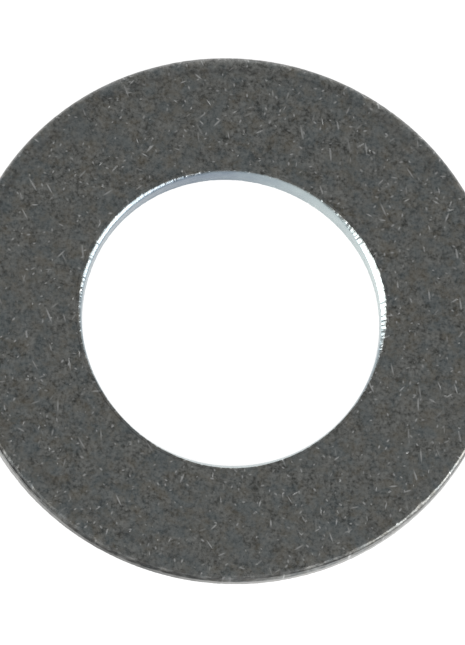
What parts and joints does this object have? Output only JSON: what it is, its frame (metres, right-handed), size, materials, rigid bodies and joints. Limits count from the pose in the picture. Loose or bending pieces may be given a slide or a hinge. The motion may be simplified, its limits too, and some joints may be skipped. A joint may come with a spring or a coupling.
{
  "type": "flat washer",
  "caption": "Thin flat steel washer: a plain round ring with a clearance hole for an M30 screw, blanked from sheet, its upper edges rolled over and its surface zinc plated.",
  "frame": {"origin": "centre of the underside, on the bore's axis, where the washer rests", "axes": "+Z along the bore, from the underside to the upper face with the rolled edges; X and Y are any two directions across the ring"},
  "size_m": [0.056, 0.056, 0.0025],
  "materials": {
    "zinc_plated_steel": "satin"
  },
  "bodies": {
    "root": {"washer": "zinc_plated_steel"}
  },
  "joints": []
}
